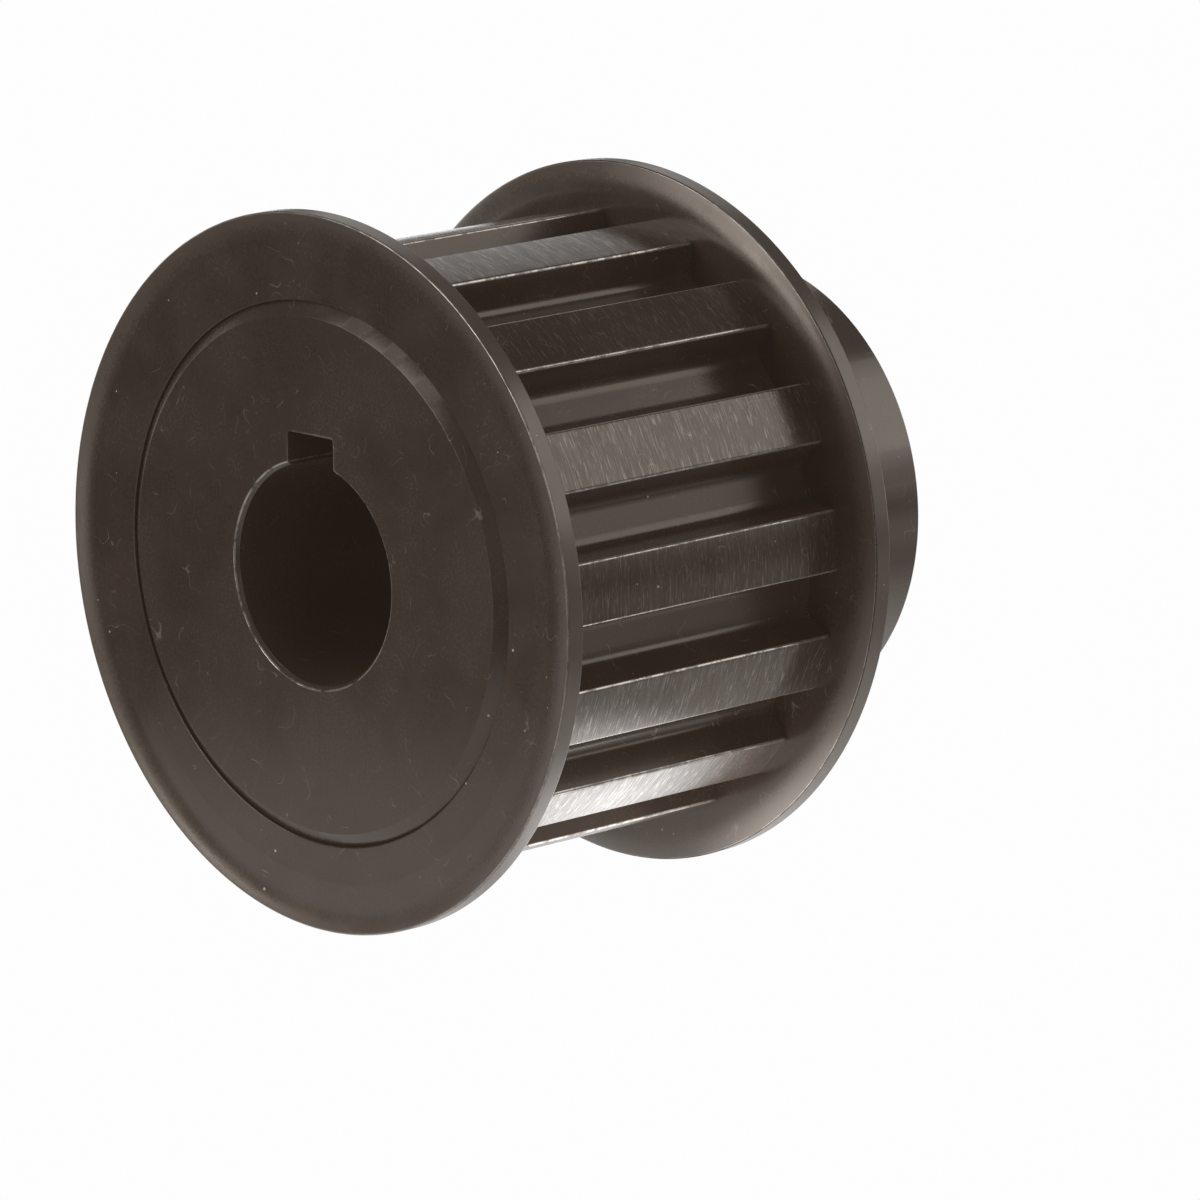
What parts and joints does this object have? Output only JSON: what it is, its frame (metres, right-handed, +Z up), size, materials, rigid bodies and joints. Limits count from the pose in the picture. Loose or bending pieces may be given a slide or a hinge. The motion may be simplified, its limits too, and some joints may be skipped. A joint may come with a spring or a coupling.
{
  "type": "timing belt pulley",
  "caption": "Flanged timing belt pulley in black-oxide steel, with a trapezoidal-toothed rim, a keyed bore and a plain hub clamped by socket set screws.",
  "frame": {"origin": "on the bore's axis, midway between the two flanges", "axes": "+Y along the bore from the front face toward the hub, +Z up through the middle of the keyway, +X to the right seen from the front"},
  "size_m": [0.0516, 0.0444, 0.0516],
  "materials": {
    "pulley_body": "black oxide over turned and hobbed steel, satin, lightly oiled",
    "flanges": "black oxide over pressed sheet steel, satin, worn bright at the rim",
    "set_screws": "black oxide alloy steel, slightly glossier than the pulley"
  },
  "bodies": {
    "pulley": {"pulley_body": "pulley_body", "front_flange": "flanges", "rear_flange": "flanges"},
    "keyway_screw": {"keyway_set_screw": "set_screws"},
    "side_screw": {"side_set_screw": "set_screws"}
  },
  "joints": [
    {"name": "keyway_screw_travel", "type": "slide", "parent": "pulley", "child": "keyway_screw", "axis": [0, 0, 1], "range_m": [-0.00127, 0.00762]},
    {"name": "side_screw_travel", "type": "slide", "parent": "pulley", "child": "side_screw", "axis": [-1, 0, 0], "range_m": [-0.00127, 0.00889]}
  ]
}
